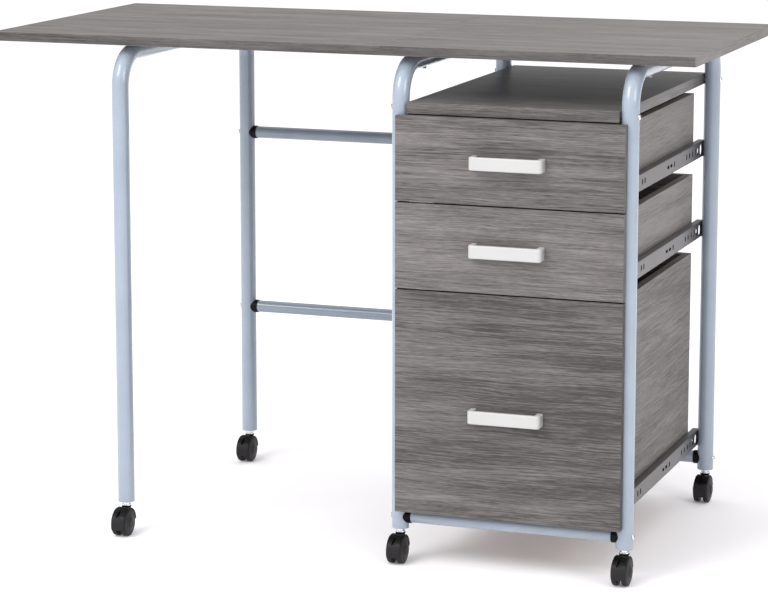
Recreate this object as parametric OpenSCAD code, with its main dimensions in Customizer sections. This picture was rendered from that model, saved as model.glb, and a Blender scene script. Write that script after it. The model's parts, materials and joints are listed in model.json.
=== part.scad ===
// Folding desk on casters: a drawer pedestal between two tube side frames,
// and a hinged leaf that a swinging leg frame carries.
// Millimetres. X runs to the right, Y to the rear, Z up from the floor.
// The origin is on the floor, under the middle of the whole desk.

/* [Desktop] */
// Height of the desktop above the floor
desk_h = 751; // [700:1:800]
// Thickness of the desktop boards
top_t = 14; // [12:0.5:25]
// Depth of the desktop from front to rear
top_d = 502; // [480:1:560]
// Width of the hinged leaf
leaf_w = 610; // [560:1:760]
// Joint between the leaf and the fixed board
seam_gap = 0.4; // [0.2:0.1:2]
// Rounding of the desktop's outer corners, seen from above
corner_r = 3; // [1:0.5:12]
// How far the desktop reaches past the right side frame's centre line
right_overhang = 91; // [40:1:160]
// How far the fixed board reaches past the inner side frame's centre line, to the seam
seam_overhang = 33; // [28:0.5:60]
// How far the leaf reaches past the left leg frame's centre line
left_overhang = 206; // [60:1:260]
// How far the desktop's front edge lies behind the front legs' centre line
front_setback = 1; // [-10:1:12]

/* [Side frames] */
// Outer diameter of the leg tubes
leg_tube_d = 25; // [20:0.5:32]
// Wall of the leg tubes
leg_wall = 1.2; // [1:0.1:2]
// Centre line radius of the bends at the top of the frames
bend_r = 50; // [35:1:55]
// Distance between the front and rear legs of a frame
leg_depth = 485; // [470:1:540]
// Distance between the two frames that carry the drawers
pedestal_w = 336; // [300:1:400]
// Height of the open tube ends above the floor, on the casters
tube_lift = 50; // [47:0.1:50.8]

/* [Rails] */
// Outer diameter of the rails that join the frames
rail_d = 19; // [16:0.5:22]
// Wall of the rails
rail_wall = 1.2; // [1:0.1:2]
// Height of the low rails between the drawer frames
low_rail_z = 68; // [67.5:0.5:76]
// How far the upper rail of the swinging frame lies below the desktop
gate_upper_drop = 202; // [150:1:280]
// Height of the lower rail of the swinging frame above the floor
gate_lower_z = 260; // [180:1:400]
// Outer diameter of the plastic saddle caps on the rail ends
cap_d = 21; // [20:0.5:24]
// Distance from a leg's centre line to the outer end of a saddle cap
cap_reach = 18; // [16.5:0.5:24]
// Depth of the plug of a saddle cap inside its rail
cap_plug = 22; // [15:1:40]

/* [Gate hinge] */
// Distance from the rear leg's centre line to the hinge pins
pivot_reach = 26; // [25:0.5:32]
// Outer diameter of the hinge eyes on the rails and of the lugs' ends
eye_d = 20; // [19.5:0.5:22]
// Height of a hinge eye
eye_h = 22; // [20:1:30]
// Thickness of the welded hinge lugs
lug_t = 3; // [2:0.5:5]
// Diameter of the hinge pins
pin_d = 6; // [5:0.5:8]
// Diameter of a hinge pin's heads
pin_head_d = 10; // [9:0.5:13]
// Thickness of a hinge pin's heads
pin_head_t = 2; // [1:0.5:4]
// Radial clearance between a hinge pin and its eye
pin_clear = 0.08; // [0.05:0.01:0.1]
// Gap between a hinge eye and the lugs above and below it
eye_gap = 0.3; // [0.3:0.1:1]
// Gap between the leaf and the tube that carries it
support_gap = 0.4; // [0.3:0.1:2]

/* [Desktop hinges] */
// Number of barrel hinges along the seam
barrel_count = 3; // [2:1:5]
// Diameter of a hinge barrel
barrel_d = 9; // [8:0.5:10]
// Length of a hinge barrel in each board
barrel_len = 20; // [14:1:30]
// Width of the slot for the links in the mouth of a barrel
link_slot_w = 4; // [3:0.5:5]
// Depth of the slot for the links in the mouth of a barrel
link_slot_depth = 11; // [6:0.5:13]
// Thickness of a link
link_t = 1.6; // [1:0.1:2]
// Height of a link
link_h = 5.4; // [4:0.2:6]
// Distance of the outer hinges from the desktop's front and rear edges
barrel_inset = 70; // [40:1:120]

/* [Storage shelf] */
// Thickness of the shelf under the desktop
shelf_t = 16; // [12:0.5:20]
// Clear height of the storage space between the shelf and the desktop
storage_h = 63.5; // [56:0.5:110]
// Gap between the shelf's sides and the legs
shelf_clear = 0.2; // [0.1:0.1:1]

/* [Drawer fronts] */
// Thickness of the drawer fronts
front_t = 12; // [10:0.5:18]
// Gap between the drawer fronts and the legs behind them
front_gap = 1; // [0.5:0.1:3]
// Height of the lowest front's lower edge above the floor
fronts_z = 80; // [76:0.5:100]
// Height of the middle front
middle_front_h = 123.5; // [100:0.5:160]
// Height of the upper front
upper_front_h = 122; // [110:0.5:160]
// Gap between the upper front and the shelf
front_top_gap = 1.4; // [1:0.1:4]
// Gap between neighbouring fronts
front_seam = 2; // [1:0.5:4]
// How far the fronts' side edges stand in from the legs' centre lines
front_inset = 0; // [0:0.5:6]

/* [Drawer boxes] */
// Thickness of the drawer sides and backs
box_t = 12; // [9:0.5:15]
// Thickness of the drawer bottoms
bottom_t = 3; // [2.5:0.5:6]
// Depth of the grooves that hold the drawer bottoms
groove_depth = 5; // [3:0.5:6]
// Height of the drawer bottom above the lower edge of the sides
bottom_lift = 9; // [6:0.5:14]
// Clearance of a drawer bottom in its grooves
groove_clear = 0.1; // [0.05:0.05:0.3]
// Outside length of a drawer box behind its front
box_len = 485; // [440:1:486]
// Height of the sides of the upper and middle drawers
shallow_side_h = 99; // [80:1:104]
// How far the lower drawer's sides end below the top of its front
deep_side_drop = 11.6; // [4:0.2:80]

/* [Slides] */
// Space for a slide between a leg and a drawer side
slide_w = 12.7; // [12:0.1:14]
// Height of the outer rail of a slide
slide_h = 25; // [24:0.5:30]
// Sheet thickness of the slides
sheet_t = 1.2; // [1:0.1:1.4]
// Running gap between the two members of a slide
run_gap = 0.3; // [0.3:0.05:0.5]
// Depth of the outer rail's flanges
rail_flange = 11; // [10.5:0.1:11.4]
// Height of the lips at the edges of the outer rail
rail_lip = 2.2; // [1.5:0.1:2.4]
// Length of the narrow slots in the rails, across the rail
rail_slot_h = 10; // [6:0.5:13]
// Width of the narrow slots in the rails
rail_slot_w = 3.4; // [2:0.2:5]
// Height of the window at the rear end of the rails
rail_window_h = 15; // [10:0.5:17]
// Width of the window at the rear end of the rails
rail_window_w = 9; // [5:0.5:12]
// Diameter of the round holes in the rails
rail_hole_d = 5; // [3:0.5:7]
// Height of the upper and middle slides above their fronts' lower edges
slide_lift = 23.4; // [14:0.2:28]
// Height of the lower slides above the lower front's lower edge
lower_slide_lift = 19.5; // [14:0.5:30]
// How far the slide rails reach past the legs' centre lines
slide_end = 8; // [6:0.5:12]
// Length of the runner that is fixed to a drawer
runner_len = 440; // [380:1:450]
// Diameter of the slide screws
slide_screw_d = 4; // [3:0.5:5]
// Diameter of the slide screws' heads
slide_screw_head_d = 7.5; // [6:0.5:9]
// Thickness of the slide screws' heads
slide_screw_head_t = 1.6; // [1:0.1:1.8]
// Length of the slide screws under their heads
slide_screw_len = 8; // [5:0.5:12]

/* [Handles] */
// Length of a handle
handle_len = 107; // [80:1:160]
// Height of the handle's flat bar
handle_h = 19; // [12:0.5:26]
// How far a handle stands out from its front
handle_reach = 20; // [18:0.5:35]
// Thickness of the handle's bar
handle_t = 5; // [3:0.5:7]
// Thickness of the handle's ends, where the screws enter
handle_post = 8; // [6:0.5:12]
// Outer radius of the handle's bends
handle_bend = 6; // [5:0.5:9]
// Inner radius of the handle's bends
handle_fillet = 1.5; // [0.5:0.5:4]
// Rounding of the handle's outline, seen from the front
handle_round = 2.5; // [1:0.5:4]
// How far the lower drawer's handle sits below the middle of its front
lower_handle_drop = 11; // [0:1:60]
// Diameter of the handle screws
handle_screw_d = 4; // [3:0.5:4.5]
// Diameter of the handle screws' heads
handle_screw_head_d = 8; // [6:0.5:10]
// Thickness of the handle screws' heads
handle_screw_head_t = 2.2; // [1.5:0.1:3]

/* [Bolts and screws] */
// Shank diameter of the frame bolts
bolt_d = 6; // [5:0.5:7]
// Diameter of the domed bolt heads
bolt_head_d = 9; // [8:0.5:12]
// Height of the domed bolt heads
bolt_head_t = 2.6; // [2:0.1:4]
// Width of the hexagon socket in a bolt head, across its corners
bolt_hex_d = 4.4; // [3:0.1:5]
// Depth of the hexagon socket in a bolt head
bolt_hex_depth = 1.6; // [1:0.1:1.9]
// How far the shelf bolts reach into the shelf
shelf_bolt_grip = 28; // [15:1:45]
// Radial clearance of bolts, pins and stems in the holes that hold them
hole_clear = 0.05; // [0.03:0.01:0.1]
// Shank diameter of the screws that hold the desktop
top_screw_d = 4; // [3:0.5:5]
// Diameter of the desktop screws' heads
top_screw_head_d = 8; // [6:0.5:10]
// Thickness of the desktop screws' heads
top_screw_head_t = 2.4; // [1.5:0.1:4]
// How far the desktop screws reach into the board
top_screw_grip = 10; // [6:0.5:11]
// Distance of the desktop screws from the legs' centre lines
top_screw_inset = 100; // [80:1:180]

/* [Casters] */
// Diameter of the caster wheels
wheel_d = 40; // [37:0.5:40.5]
// Width over the domed faces of both wheels of a caster
wheels_w = 30; // [29:0.5:34]
// Width of one wheel with its dome
wheel_w = 11; // [9.5:0.5:11]
// Height of the dome on a wheel's outer face
wheel_dome = 4.5; // [2:0.5:5.5]
// Width of the smooth ring around a wheel's outer face
rim_w = 4; // [2:0.5:5]
// Depth of the recess between that ring and the hub cap
dish_depth = 0.8; // [0.4:0.1:1.5]
// Diameter of the hub cap in the middle of a wheel's outer face
hub_d = 15; // [10:0.5:20]
// Diameter of the axle between two wheels
axle_d = 6; // [5:0.5:8]
// Running clearance around the axle and the stem
spin_clear = 0.08; // [0.05:0.01:0.1]
// Distance from the swivel axis to the axle
trail = 13; // [12:0.5:14]
// Gap between the wheels and the hood around them
hood_gap = 0.6; // [0.4:0.1:0.8]
// Wall of the hood
hood_wall = 1.2; // [1:0.1:1.6]
// Width of the hood over the wheels
hood_w = 21; // [16:0.5:23]
// Rounding of the hood's side edges
hood_round = 1; // [0.4:0.1:1.1]
// How far the hood stands out behind the stem's boss
hood_tail = 3; // [2:0.5:4]
// How far the front of the hood reaches below the axle
hood_drop = 8.2; // [4:0.2:12]
// How far the rear edge of the hood stands above the axle
hood_rise = 1; // [0:0.5:6]
// Gap between the wheels and the web between them
web_gap = 1.8; // [0.6:0.1:2.2]
// Width of the lower end of the slot in the front of the hood
hood_slot_w = 7; // [4:0.5:9]
// Width of the upper end of that slot
hood_slot_top_w = 2; // [1:0.2:4]
// Length of that slot
hood_slot_h = 12; // [6:0.5:13]
// Angle from the axle up to the middle of that slot
hood_slot_angle = 46; // [30:1:50]
// Depth of that slot
hood_slot_depth = 3.2; // [2.6:0.1:5]
// Diameter of the collar's lip around the stem
collar_d = 14.5; // [13:0.5:15]
// Diameter of the collar's neck
collar_neck_d = 12.5; // [11:0.5:13]
// Height of the collar's lip
collar_lip_h = 2.2; // [1.5:0.1:3]
// Height of the collar's upper end above the floor
collar_z = 43.2; // [42.6:0.1:46]
// Diameter of the caster stem in its socket
stem_d = 8; // [6:0.5:9]
// Depth of the stem inside its socket
stem_len = 13; // [8:1:13]
// Diameter of the stem's shoulder under the socket
stem_shoulder_d = 10; // [9.5:0.5:12]
// Diameter of the flange on the stem
stem_flange_d = 13; // [12:0.5:14]
// Thickness of the flange on the stem
stem_flange_t = 2; // [1.5:0.1:3]
// Gap between the stem's flange and the hood's collar
flange_gap = 0.3; // [0.3:0.1:0.8]
// Diameter of the stem inside the hood
stem_tail_d = 4.5; // [3.5:0.1:4.7]
// Depth of the stem inside the hood
stem_tail = 10; // [7:0.5:11]
// Length of the plastic socket in the tube's end
socket_len = 14; // [10:1:14]

/* [Hidden] */
$fn = 48;

// Places across the desk
fixed_top_w = seam_overhang + pedestal_w + right_overhang;
total_w = leaf_w + seam_gap + fixed_top_w;
left_edge = -total_w / 2;
right_edge = total_w / 2;
seam_x = left_edge + leaf_w + seam_gap / 2;
left_x = left_edge + left_overhang;
right_x = right_edge - right_overhang;
inner_x = right_x - pedestal_w;
pivot_x = inner_x - pivot_reach;
middle_x = (inner_x + right_x) / 2;

// Places from front to rear
leg_r = leg_tube_d / 2;
front_reach = leg_r + front_gap + front_t + handle_reach;
rear_reach = front_setback + top_d;
front_y = (front_reach - rear_reach) / 2;
rear_y = front_y + leg_depth;
leg_ys = [front_y, rear_y];
top_front_y = front_y + front_setback;
front_back_y = front_y - leg_r - front_gap;
front_face_y = front_back_y - front_t;

// Places above the floor
under_top_z = desk_h - top_t;
fixed_tube_z = under_top_z - leg_r;
gate_tube_z = fixed_tube_z - support_gap;
gate_upper_z = desk_h - gate_upper_drop;
shelf_z = under_top_z - storage_h - shelf_t;
shelf_mid_z = shelf_z + shelf_t / 2;
barrel_z = desk_h - top_t / 2;
upper_fronts_z = shelf_z - front_top_gap - upper_front_h;
middle_fronts_z = upper_fronts_z - front_seam - middle_front_h;
lower_front_h = middle_fronts_z - front_seam - fronts_z;
upper_slide_z = upper_fronts_z + slide_lift;
middle_slide_z = middle_fronts_z + slide_lift;
lower_slide_z = fronts_z + lower_slide_lift;

// Inner sizes of tubes and drawers
leg_bore_r = leg_r - leg_wall;
rail_r = rail_d / 2;
rail_bore_r = rail_r - rail_wall;
leg_face = pedestal_w / 2 - leg_r;
box_half_w = leg_face - slide_w;
fronts_w = pedestal_w - 2 * front_inset;
deep_side_h = lower_front_h - deep_side_drop - lower_slide_lift + slide_h / 2;
slide_len = leg_depth + 2 * slide_end;
tube_cut = leg_tube_d + 2;
// How far a blind hole runs on past the end of its bolt, screw or barrel
tip_gap = 1;
// Taper of a screw head's rim
head_taper = 0.8;
barrel_ys = [
    for (i = [0 : barrel_count - 1])
        top_front_y + barrel_inset + i * (top_d - 2 * barrel_inset) / (barrel_count - 1)
];
// Places of the slots and holes in a slide rail, from its front end, middle and rear end
front_slots = [53, 68];
middle_slots = [-20, 40];
rear_slots = [143, 119, 95];
rear_hole = 60;
rear_window = 34;

// Inner sizes of the casters
wheel_r = wheel_d / 2;
wheel_in = wheels_w / 2 - wheel_w;
hood_inner_r = wheel_r + hood_gap;
hood_r = hood_inner_r + hood_wall;

// Colours as they look in daylight
oak = [0.46, 0.44, 0.42];
powder_blue = [0.66, 0.73, 0.80];
black_plastic = [0.12, 0.12, 0.13];
wheel_black = [0.20, 0.20, 0.21];
bright_steel = [0.80, 0.81, 0.83];
dark_steel = [0.30, 0.29, 0.29];
satin_white = [0.93, 0.93, 0.92];
board_core = [0.55, 0.47, 0.38];

// A bar or tube along X, from x = 0 to x = len
module x_rod(len, r) {
    rotate([0, 90, 0]) cylinder(h = len, r = r);
}

module ring(r, wall) {
    difference() {
        circle(r);
        circle(r - wall);
    }
}

// Rectangle with rounded corners, its lower left corner at the origin
module rounded_plate(w, h, r) {
    translate([r, 0]) square([w - 2 * r, h]);
    translate([0, r]) square([w, h - 2 * r]);
    for (x = [r, w - r], y = [r, h - r]) translate([x, y]) circle(r);
}

// Slot along X with round ends, centred on the origin
module slot_2d(len, w) {
    square([len - w, w], center = true);
    for (s = [-1, 1]) translate([s * (len - w) / 2, 0]) circle(w / 2);
}

// Inverted U of tube, standing in the plane of X = x
module u_frame(x, tube_z) {
    leg_len = tube_z - bend_r - tube_lift;
    translate([x, front_y, tube_lift]) {
        for (y = [0, leg_depth])
            translate([0, y, 0]) linear_extrude(leg_len) ring(leg_r, leg_wall);
        translate([0, leg_depth - bend_r, leg_len]) frame_bend();
        translate([0, bend_r, leg_len]) mirror([0, 1, 0]) frame_bend();
        translate([0, bend_r, leg_len + bend_r]) rotate([-90, 0, 0])
            linear_extrude(leg_depth - 2 * bend_r) ring(leg_r, leg_wall);
    }
}

// Quarter bend from a leg at the rear up into the top tube
module frame_bend() {
    rotate([90, 0, 90]) rotate_extrude(angle = 90) translate([bend_r, 0]) ring(leg_r, leg_wall);
}

// Holes through both walls of the legs of a frame at X = x
module leg_holes(x, z, ys = leg_ys) {
    for (y = ys) translate([x - tube_cut / 2, y, z]) x_rod(tube_cut, bolt_d / 2 + hole_clear);
}

// Pilot holes for slide screws in the wall that faces the drawers, side = 1 or -1
module slide_screw_holes(x, side) {
    for (y = leg_ys, z = [upper_slide_z, middle_slide_z, lower_slide_z])
        translate([x, y, z]) rotate([0, side * 90, 0])
            cylinder(h = tube_cut / 2, r = slide_screw_d / 2 + hole_clear);
}

module top_screw_holes(x) {
    for (y = [front_y + top_screw_inset, rear_y - top_screw_inset])
        translate([x, y, fixed_tube_z - tube_cut / 2])
            cylinder(h = tube_cut, r = top_screw_d / 2 + hole_clear);
}

// Welded lugs above and below one hinge eye on the inner rear leg
module hinge_lugs(z) {
    for (side = [-1, 1]) {
        lug_z = side > 0 ? z + eye_h / 2 + eye_gap : z - eye_h / 2 - eye_gap - lug_t;
        translate([0, 0, lug_z]) linear_extrude(lug_t) difference() {
            union() {
                translate([pivot_x, rear_y]) circle(eye_d / 2);
                translate([pivot_x, rear_y - eye_d / 2]) square([pivot_reach, eye_d]);
            }
            translate([inner_x, rear_y]) circle(leg_r - leg_wall / 2);
            translate([pivot_x, rear_y]) circle(pin_d / 2 + hole_clear);
        }
    }
}

module inner_side_frame() {
    color(powder_blue) difference() {
        union() {
            u_frame(inner_x, fixed_tube_z);
            for (z = [gate_upper_z, gate_lower_z]) hinge_lugs(z);
        }
        leg_holes(inner_x, low_rail_z);
        leg_holes(inner_x, shelf_mid_z);
        slide_screw_holes(inner_x, 1);
        top_screw_holes(inner_x);
    }
}

module right_side_frame() {
    color(powder_blue) difference() {
        u_frame(right_x, fixed_tube_z);
        leg_holes(right_x, low_rail_z);
        leg_holes(right_x, shelf_mid_z);
        slide_screw_holes(right_x, -1);
        top_screw_holes(right_x);
    }
}

module left_leg_frame() {
    color(powder_blue) difference() {
        u_frame(left_x, gate_tube_z);
        leg_holes(left_x, gate_upper_z, [rear_y]);
        leg_holes(left_x, gate_lower_z, [rear_y]);
    }
}

// Low rail between the drawer frames at Y = y
module low_rail(y) {
    color(powder_blue) translate([inner_x + cap_reach, y, low_rail_z]) rotate([0, 90, 0])
        linear_extrude(pedestal_w - 2 * cap_reach) ring(rail_r, rail_wall);
}

module front_rail() {
    low_rail(front_y);
}

module rear_rail() {
    low_rail(rear_y);
}

// Rail of the swinging frame, with its hinge eye at the right end
module gate_rail(z) {
    rail_start = left_x + cap_reach;
    color(powder_blue) translate([0, rear_y, z]) difference() {
        union() {
            translate([rail_start, 0, 0]) rotate([0, 90, 0])
                linear_extrude(pivot_x - rail_start) ring(rail_r, rail_wall);
            translate([pivot_x, 0, -eye_h / 2]) cylinder(h = eye_h, r = eye_d / 2);
        }
        translate([pivot_x, 0, -eye_h / 2 - tip_gap])
            cylinder(h = eye_h + 2 * tip_gap, r = pin_d / 2 + pin_clear);
    }
}

module gate_upper_rail() {
    gate_rail(gate_upper_z);
}

module gate_lower_rail() {
    gate_rail(gate_lower_z);
}

// Saddle cap between a leg at the origin and a rail that runs to +X
module saddle_cap() {
    color(black_plastic) difference() {
        union() {
            x_rod(cap_reach, cap_d / 2);
            x_rod(cap_reach + cap_plug, rail_bore_r - hole_clear);
        }
        translate([0, 0, -cap_d]) cylinder(h = 2 * cap_d, r = leg_r + hole_clear);
        x_rod(cap_reach + cap_plug + tip_gap, bolt_d / 2 + hole_clear);
    }
}

module rail_end_caps() {
    for (y = leg_ys) {
        translate([inner_x, y, low_rail_z]) saddle_cap();
        translate([right_x, y, low_rail_z]) mirror([1, 0, 0]) saddle_cap();
    }
}

module gate_end_caps() {
    for (z = [gate_upper_z, gate_lower_z]) translate([left_x, rear_y, z]) saddle_cap();
}

// Domed bolt through a leg at the origin towards +X, reaching to X = reach
module frame_bolt(reach) {
    dome_r = (bolt_head_d * bolt_head_d / 4 + bolt_head_t * bolt_head_t) / (2 * bolt_head_t);
    head_x = -leg_r - hole_clear;
    color(bright_steel) translate([head_x, 0, 0]) difference() {
        union() {
            x_rod(reach - head_x, bolt_d / 2);
            intersection() {
                translate([dome_r - bolt_head_t, 0, 0]) sphere(r = dome_r);
                translate([-bolt_head_t, 0, 0]) x_rod(bolt_head_t, bolt_head_d / 2);
            }
        }
        translate([-bolt_head_t, 0, 0]) rotate([0, 90, 0])
            cylinder(h = bolt_hex_depth, r = bolt_hex_d / 2, $fn = 6);
    }
}

module frame_bolts() {
    for (y = leg_ys) {
        translate([inner_x, y, low_rail_z]) frame_bolt(cap_reach + cap_plug);
        translate([inner_x, y, shelf_mid_z]) frame_bolt(leg_r + shelf_bolt_grip);
        translate([right_x, y, 0]) mirror([1, 0, 0]) {
            translate([0, 0, low_rail_z]) frame_bolt(cap_reach + cap_plug);
            translate([0, 0, shelf_mid_z]) frame_bolt(leg_r + shelf_bolt_grip);
        }
    }
}

module gate_bolts() {
    for (z = [gate_upper_z, gate_lower_z])
        translate([left_x, rear_y, z]) frame_bolt(cap_reach + cap_plug);
}

// Board from X = x0 to x1 at the height of the desktop, its corners on one side rounded
module top_board(x0, x1, round_side) {
    w = x1 - x0;
    translate([x0, top_front_y, under_top_z]) linear_extrude(top_t) union() {
        rounded_plate(w, top_d, corner_r);
        translate([round_side > 0 ? 0 : w / 2, 0]) square([w / 2, top_d]);
    }
}

// Round hinge barrels let into a board's edge at the seam, side = 1 to the right
module barrels(side, r, len) {
    for (y = barrel_ys)
        translate([seam_x + side * seam_gap / 2, y, barrel_z]) rotate([0, side * 90, 0])
            cylinder(h = len, r = r);
}

// Slotted barrels, each with half of the link that crosses the seam
module hinge_barrels(side) {
    color(bright_steel) {
        difference() {
            barrels(side, barrel_d / 2, barrel_len);
            for (y = barrel_ys)
                translate([seam_x + side * link_slot_depth / 2, y, barrel_z])
                    cube([link_slot_depth, link_slot_w, barrel_d + 2], center = true);
        }
        for (y = barrel_ys) link_half(side, y);
    }
}

// Half of a link: a plate in the slot, flush with the seam, its foot in the barrel
module link_half(side, y) {
    translate([seam_x + side * (seam_gap + link_slot_depth) / 2, y, barrel_z])
        cube([link_slot_depth, link_t, link_h], center = true);
}

module top_hinge_barrels() {
    hinge_barrels(1);
}

module leaf_hinge_barrels() {
    hinge_barrels(-1);
}

module fixed_top() {
    color(oak) difference() {
        top_board(seam_x + seam_gap / 2, right_edge, 1);
        barrels(1, barrel_d / 2 + hole_clear, barrel_len + tip_gap);
        for (x = [inner_x, right_x], y = [front_y + top_screw_inset, rear_y - top_screw_inset])
            translate([x, y, under_top_z - tip_gap])
                cylinder(h = top_screw_grip + 2 * tip_gap, r = top_screw_d / 2 + hole_clear);
    }
}

module leaf() {
    color(oak) difference() {
        top_board(left_edge, seam_x - seam_gap / 2, -1);
        barrels(-1, barrel_d / 2 + hole_clear, barrel_len + tip_gap);
    }
}

module top_screws() {
    head_z = fixed_tube_z - leg_r;
    color(bright_steel)
        for (x = [inner_x, right_x], y = [front_y + top_screw_inset, rear_y - top_screw_inset])
            translate([x, y, head_z - top_screw_head_t]) {
                cylinder(
                    h = top_screw_head_t,
                    r1 = top_screw_head_d / 2 - head_taper,
                    r2 = top_screw_head_d / 2
                );
                cylinder(h = top_screw_head_t + leg_tube_d + top_screw_grip, r = top_screw_d / 2);
            }
}

module storage_shelf() {
    w = 2 * (leg_face - shelf_clear);
    color(oak) difference() {
        translate([middle_x - w / 2, front_y - leg_r, shelf_z]) cube([w, leg_depth + leg_tube_d, shelf_t]);
        for (y = leg_ys) {
            translate([inner_x, y, shelf_mid_z]) shelf_bolt_hole();
            translate([right_x, y, shelf_mid_z]) mirror([1, 0, 0]) shelf_bolt_hole();
        }
    }
}

// Blind hole in the shelf's edge for a bolt through a leg at the origin
module shelf_bolt_hole() {
    x_rod(leg_r + shelf_bolt_grip + tip_gap, bolt_d / 2 + hole_clear);
}

// Section of a slide's outer rail: x from the leg inwards, y up
module rail_section() {
    half = slide_h / 2;
    square_from([0, -half], [sheet_t, half]);
    for (s = [-1, 1]) scale_y(s) {
        square_from([0, half - sheet_t], [rail_flange, half]);
        square_from([rail_flange - sheet_t, half - sheet_t - rail_lip], [rail_flange, half]);
    }
}

// Section of a runner: its web lies on the drawer side, its flanges inside the rail
module runner_section() {
    flange = slide_h / 2 - sheet_t - run_gap;
    neck = slide_h / 2 - sheet_t - rail_lip - 2 * run_gap;
    shoulder_x = rail_flange - sheet_t - 2 * run_gap;
    flange_x = sheet_t + slide_screw_head_t + 2 * run_gap;
    square_from([slide_w - sheet_t, -neck], [slide_w, neck]);
    for (s = [-1, 1]) scale_y(s) {
        square_from([shoulder_x - sheet_t, neck - sheet_t], [slide_w, neck]);
        square_from([shoulder_x - sheet_t, neck - sheet_t], [shoulder_x, flange]);
        square_from([flange_x, flange - sheet_t], [shoulder_x, flange]);
    }
}

module square_from(a, b) {
    translate(a) square(b - a);
}

// Turns a shape upside down when s is -1
module scale_y(s) {
    if (s < 0) mirror([0, 1]) children();
    else children();
}

// A section drawn from the leg inwards, run along Y on the left or right side
module along_slide(side, y, len) {
    translate([middle_x, y + len, 0]) mirror([side > 0 ? 1 : 0, 0, 0])
        translate([-leg_face, 0, 0]) rotate([90, 0, 0]) linear_extrude(len) children();
}

// Slots, holes and the window of a slide rail, X running from its front end
module rail_cuts() {
    mid = slide_len / 2;
    for (d = front_slots) translate([d, 0]) slot_upright(rail_slot_h, rail_slot_w);
    for (d = middle_slots) translate([mid + d, 0]) slot_2d(rail_slot_h, rail_slot_w);
    for (d = rear_slots) translate([slide_len - d, 0]) slot_upright(rail_slot_h, rail_slot_w);
    for (d = [mid, slide_len - rear_hole]) translate([d, 0]) circle(rail_hole_d / 2);
    translate([slide_len - rear_window, 0]) slot_upright(rail_window_h, rail_window_w);
}

module slot_upright(len, w) {
    rotate(90) slot_2d(len, w);
}

module slide_rails(z) {
    color(dark_steel) translate([0, 0, z]) for (side = [-1, 1])
        difference() {
            along_slide(side, front_y - slide_end, slide_len) rail_section();
            translate([middle_x + side * leg_face, front_y - slide_end, 0]) rotate([0, 0, 90])
                rotate([90, 0, 0]) linear_extrude(4 * sheet_t, center = true) rail_cuts();
            for (y = leg_ys) translate([middle_x + side * leg_face - tube_cut / 2, y, 0])
                x_rod(tube_cut, slide_screw_d / 2 + hole_clear);
        }
}

module upper_slide_rails() {
    slide_rails(upper_slide_z);
}

module middle_slide_rails() {
    slide_rails(middle_slide_z);
}

module lower_slide_rails() {
    slide_rails(lower_slide_z);
}

module slide_screws() {
    color(bright_steel)
        for (side = [-1, 1], y = leg_ys, z = [upper_slide_z, middle_slide_z, lower_slide_z])
            translate([middle_x + side * (leg_face - sheet_t), y, z]) rotate([0, side * 90, 0]) {
                translate([0, 0, -slide_screw_head_t]) cylinder(
                    h = slide_screw_head_t,
                    r1 = slide_screw_head_d / 2 - head_taper,
                    r2 = slide_screw_head_d / 2
                );
                cylinder(h = slide_screw_len, r = slide_screw_d / 2);
            }
}

module drawer_runners(z) {
    color(dark_steel) translate([0, 0, z]) for (side = [-1, 1])
        along_slide(side, front_y + leg_r, runner_len) runner_section();
}

module upper_drawer_runners() {
    drawer_runners(upper_slide_z);
}

module middle_drawer_runners() {
    drawer_runners(middle_slide_z);
}

module lower_drawer_runners() {
    drawer_runners(lower_slide_z);
}

// Flat front with a groove for the drawer bottom and holes for the handle
module drawer_front(z, h, box_z, handle_z) {
    color(oak) difference() {
        translate([middle_x - fronts_w / 2, front_face_y, z]) cube([fronts_w, front_t, h]);
        bottom_cut(box_z);
        for (s = [-1, 1])
            translate([middle_x + s * (handle_len - handle_post) / 2, front_back_y + tip_gap, handle_z])
                rotate([90, 0, 0]) cylinder(h = front_t + 2 * tip_gap, r = handle_screw_d / 2 + hole_clear);
    }
}

// Space of a drawer bottom with its clearance, which cuts the grooves around it
module bottom_cut(box_z) {
    w = 2 * (box_half_w - box_t + groove_depth);
    d = box_len - box_t + 2 * groove_depth;
    translate([middle_x - w / 2, front_back_y - groove_depth, box_z + bottom_lift - groove_clear])
        cube([w, d, bottom_t + 2 * groove_clear]);
}

module drawer_bottom(box_z) {
    w = 2 * (box_half_w - box_t + groove_depth - groove_clear);
    d = box_len - box_t + 2 * (groove_depth - groove_clear);
    color(board_core)
        translate([middle_x - w / 2, front_back_y - groove_depth + groove_clear, box_z + bottom_lift])
            cube([w, d, bottom_t]);
}

module drawer_sides(box_z, h) {
    color(oak) difference() {
        for (x = [middle_x - box_half_w, middle_x + box_half_w - box_t])
            translate([x, front_back_y, box_z]) cube([box_t, box_len, h]);
        bottom_cut(box_z);
    }
}

module drawer_back(box_z, h) {
    w = 2 * (box_half_w - box_t);
    color(oak) difference() {
        translate([middle_x - w / 2, front_back_y + box_len - box_t, box_z]) cube([w, box_t, h]);
        bottom_cut(box_z);
    }
}

// Flat bar bent back at both ends, on the drawer front at height z
module drawer_handle(z) {
    inner_len = handle_len - 2 * handle_post;
    color(satin_white) translate([middle_x, front_face_y, z]) difference() {
        intersection() {
            translate([0, 0, -handle_h / 2]) linear_extrude(handle_h)
                handle_outline(handle_len, handle_reach, handle_bend);
            rotate([90, 0, 0]) linear_extrude(handle_reach)
                translate([-handle_len / 2, -handle_h / 2])
                    rounded_plate(handle_len, handle_h, handle_round);
        }
        translate([0, 0, -handle_h]) linear_extrude(2 * handle_h)
            handle_outline(inner_len, handle_reach - handle_t, handle_fillet);
        for (s = [-1, 1])
            translate([s * (handle_len - handle_post) / 2, 0, 0]) rotate([90, 0, 0])
                cylinder(h = handle_reach - handle_bend, r = handle_screw_d / 2 + hole_clear);
    }
}

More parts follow.
